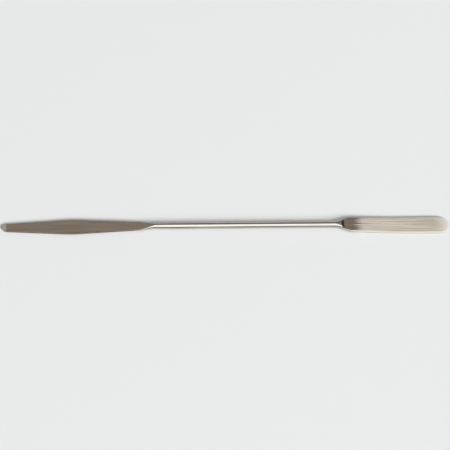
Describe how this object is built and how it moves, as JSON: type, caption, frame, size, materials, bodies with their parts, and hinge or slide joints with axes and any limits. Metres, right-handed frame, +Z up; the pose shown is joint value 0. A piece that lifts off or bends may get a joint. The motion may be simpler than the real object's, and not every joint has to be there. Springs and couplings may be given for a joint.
{
  "type": "lab spatula",
  "caption": "Double-ended steel lab spatula for powders: a round shank forged into a tapered, chisel-ended blade and a flat round-ended blade.",
  "frame": {"origin": "middle of the footprint on the bench", "axes": "+X along the shank towards the round-ended blade, +Y across the blades, +Z up from the bench"},
  "size_m": [0.21, 0.009, 0.003],
  "materials": {
    "steel": "polished, with a lengthwise satin belt finish on the face of the round-ended blade"
  },
  "bodies": {
    "root": {"spatula": "steel"}
  },
  "joints": []
}
